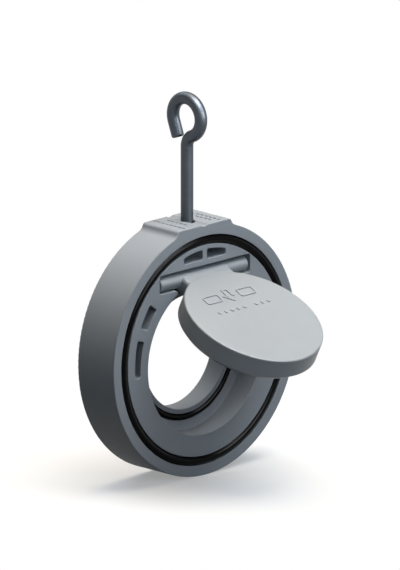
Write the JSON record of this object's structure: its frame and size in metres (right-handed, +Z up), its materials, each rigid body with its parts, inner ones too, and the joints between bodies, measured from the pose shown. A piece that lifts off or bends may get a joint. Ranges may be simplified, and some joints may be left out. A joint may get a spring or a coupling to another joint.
{
  "type": "flap check valve",
  "caption": "Wafer check valve for a pressure pipe: a grey plastic ring clamped between two flanges, a hinged flap that shuts on a sealed seat, and a steel eye bolt for lifting.",
  "frame": {"origin": "middle of the ring, on the axis of the pipe and halfway between the two sealing faces", "axes": "+Y along the pipe against the flow, from the outlet side to the inlet side; +Z up, along the eye bolt"},
  "size_m": [0.194, 0.14, 0.2941],
  "materials": {
    "body_plastic": "moulded grey PVC-U",
    "flap_plastic": "moulded grey PVC-U",
    "seal_rubber": "smooth black EPDM",
    "bolt_steel": "drawn and bent round steel"
  },
  "bodies": {
    "ring": {"valve_body": "body_plastic", "seat_o_ring": "seal_rubber", "outlet_face_o_ring": "seal_rubber", "inlet_face_o_ring": "seal_rubber", "eye_bolt": "bolt_steel"},
    "flap": {"flap": "flap_plastic"}
  },
  "joints": [
    {"name": "flap_swing", "type": "hinge", "parent": "ring", "child": "flap", "pos_m": [0, -0.013, 0.058], "axis": [1, 0, 0], "range_deg": [-26.1, 63.9]}
  ]
}
